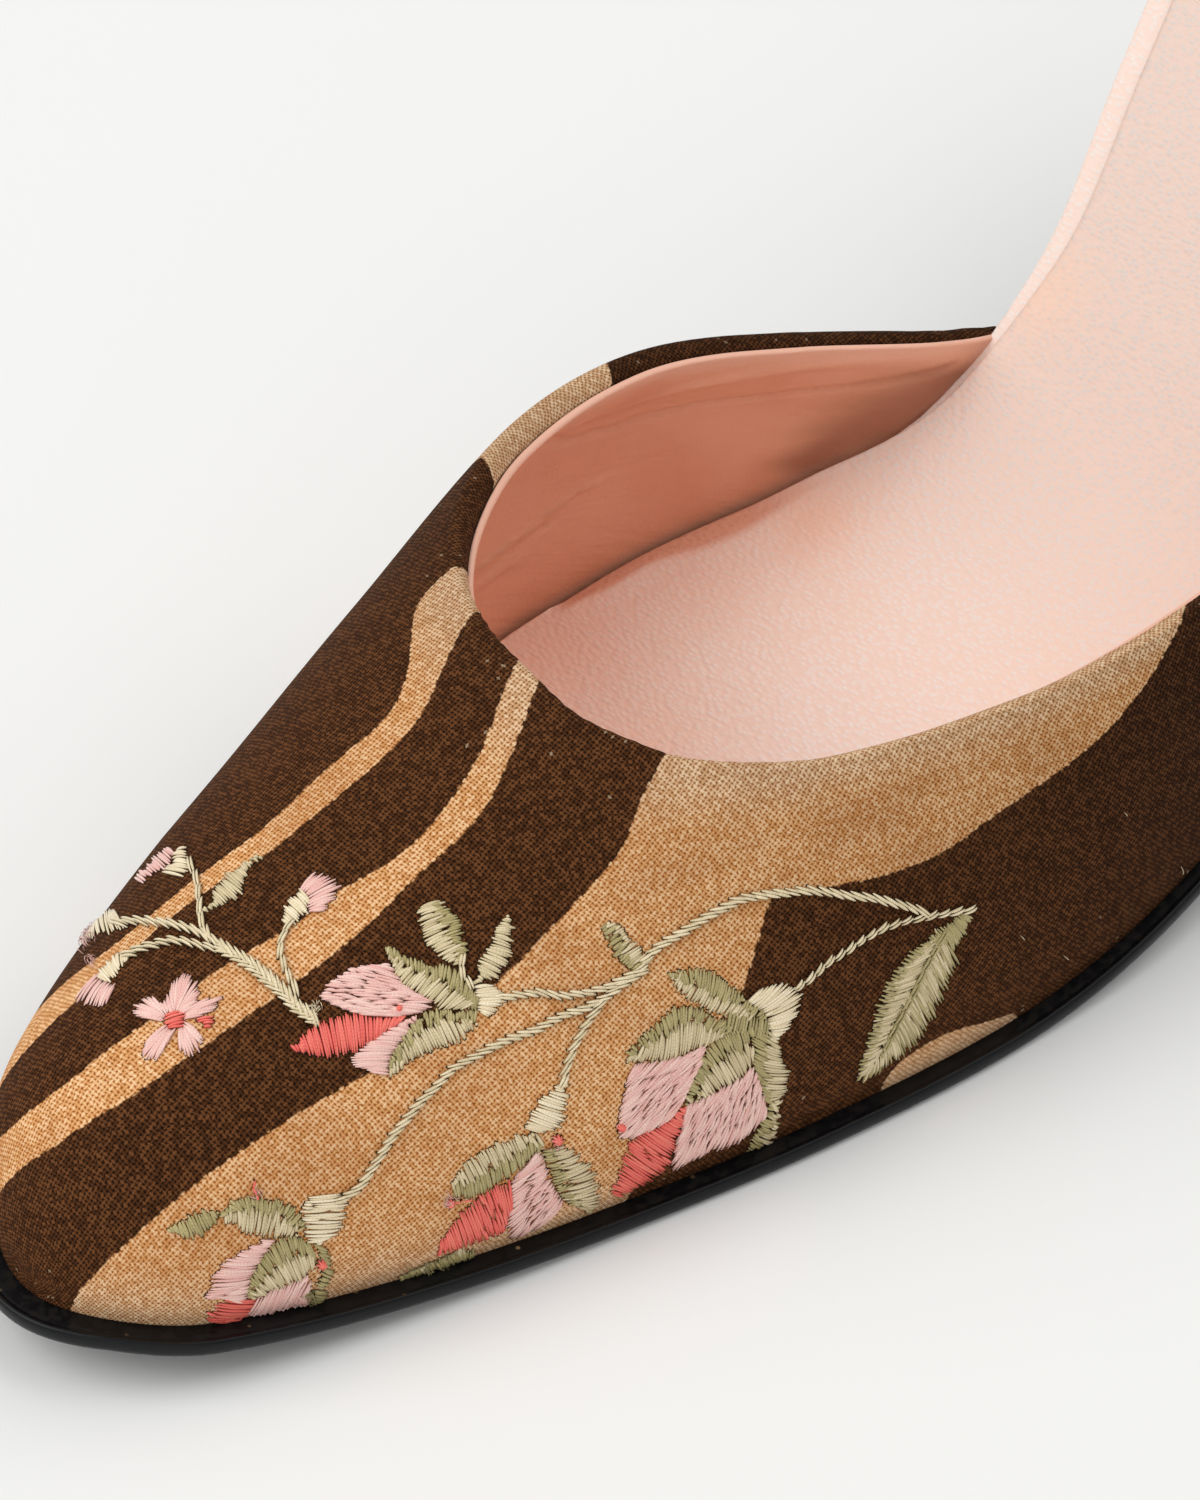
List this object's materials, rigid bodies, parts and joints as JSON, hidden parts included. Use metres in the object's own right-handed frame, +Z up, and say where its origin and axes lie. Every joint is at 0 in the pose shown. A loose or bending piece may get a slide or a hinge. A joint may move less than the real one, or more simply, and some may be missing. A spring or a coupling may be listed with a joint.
{
  "type": "mule",
  "caption": "High-heeled left mule with a closed softly pointed toe, open back, striped woven upper with embroidered sprigs, pink lining, thin black sole and a slender covered heel.",
  "frame": {"origin": "middle of the plan's bounding box, on the floor that the sole stands on", "axes": "+X from the toe to the heel, +Y to the medial side, +Z up"},
  "size_m": [0.2396, 0.0798, 0.0807],
  "materials": {
    "outsole": "black waxed edge, matte ledge",
    "upper": "woven tan and dark brown stripes with thread embroidery, pink leather lining",
    "insole": "pale pink grained leather",
    "sock": "pale pink grained leather, light sheen",
    "heel": "plain dark brown woven cover",
    "top_piece": "matte black"
  },
  "bodies": {
    "root": {"outsole": "outsole", "upper": "upper", "insole": "insole", "sock": "sock", "heel": "heel", "top_piece": "top_piece"}
  },
  "joints": []
}
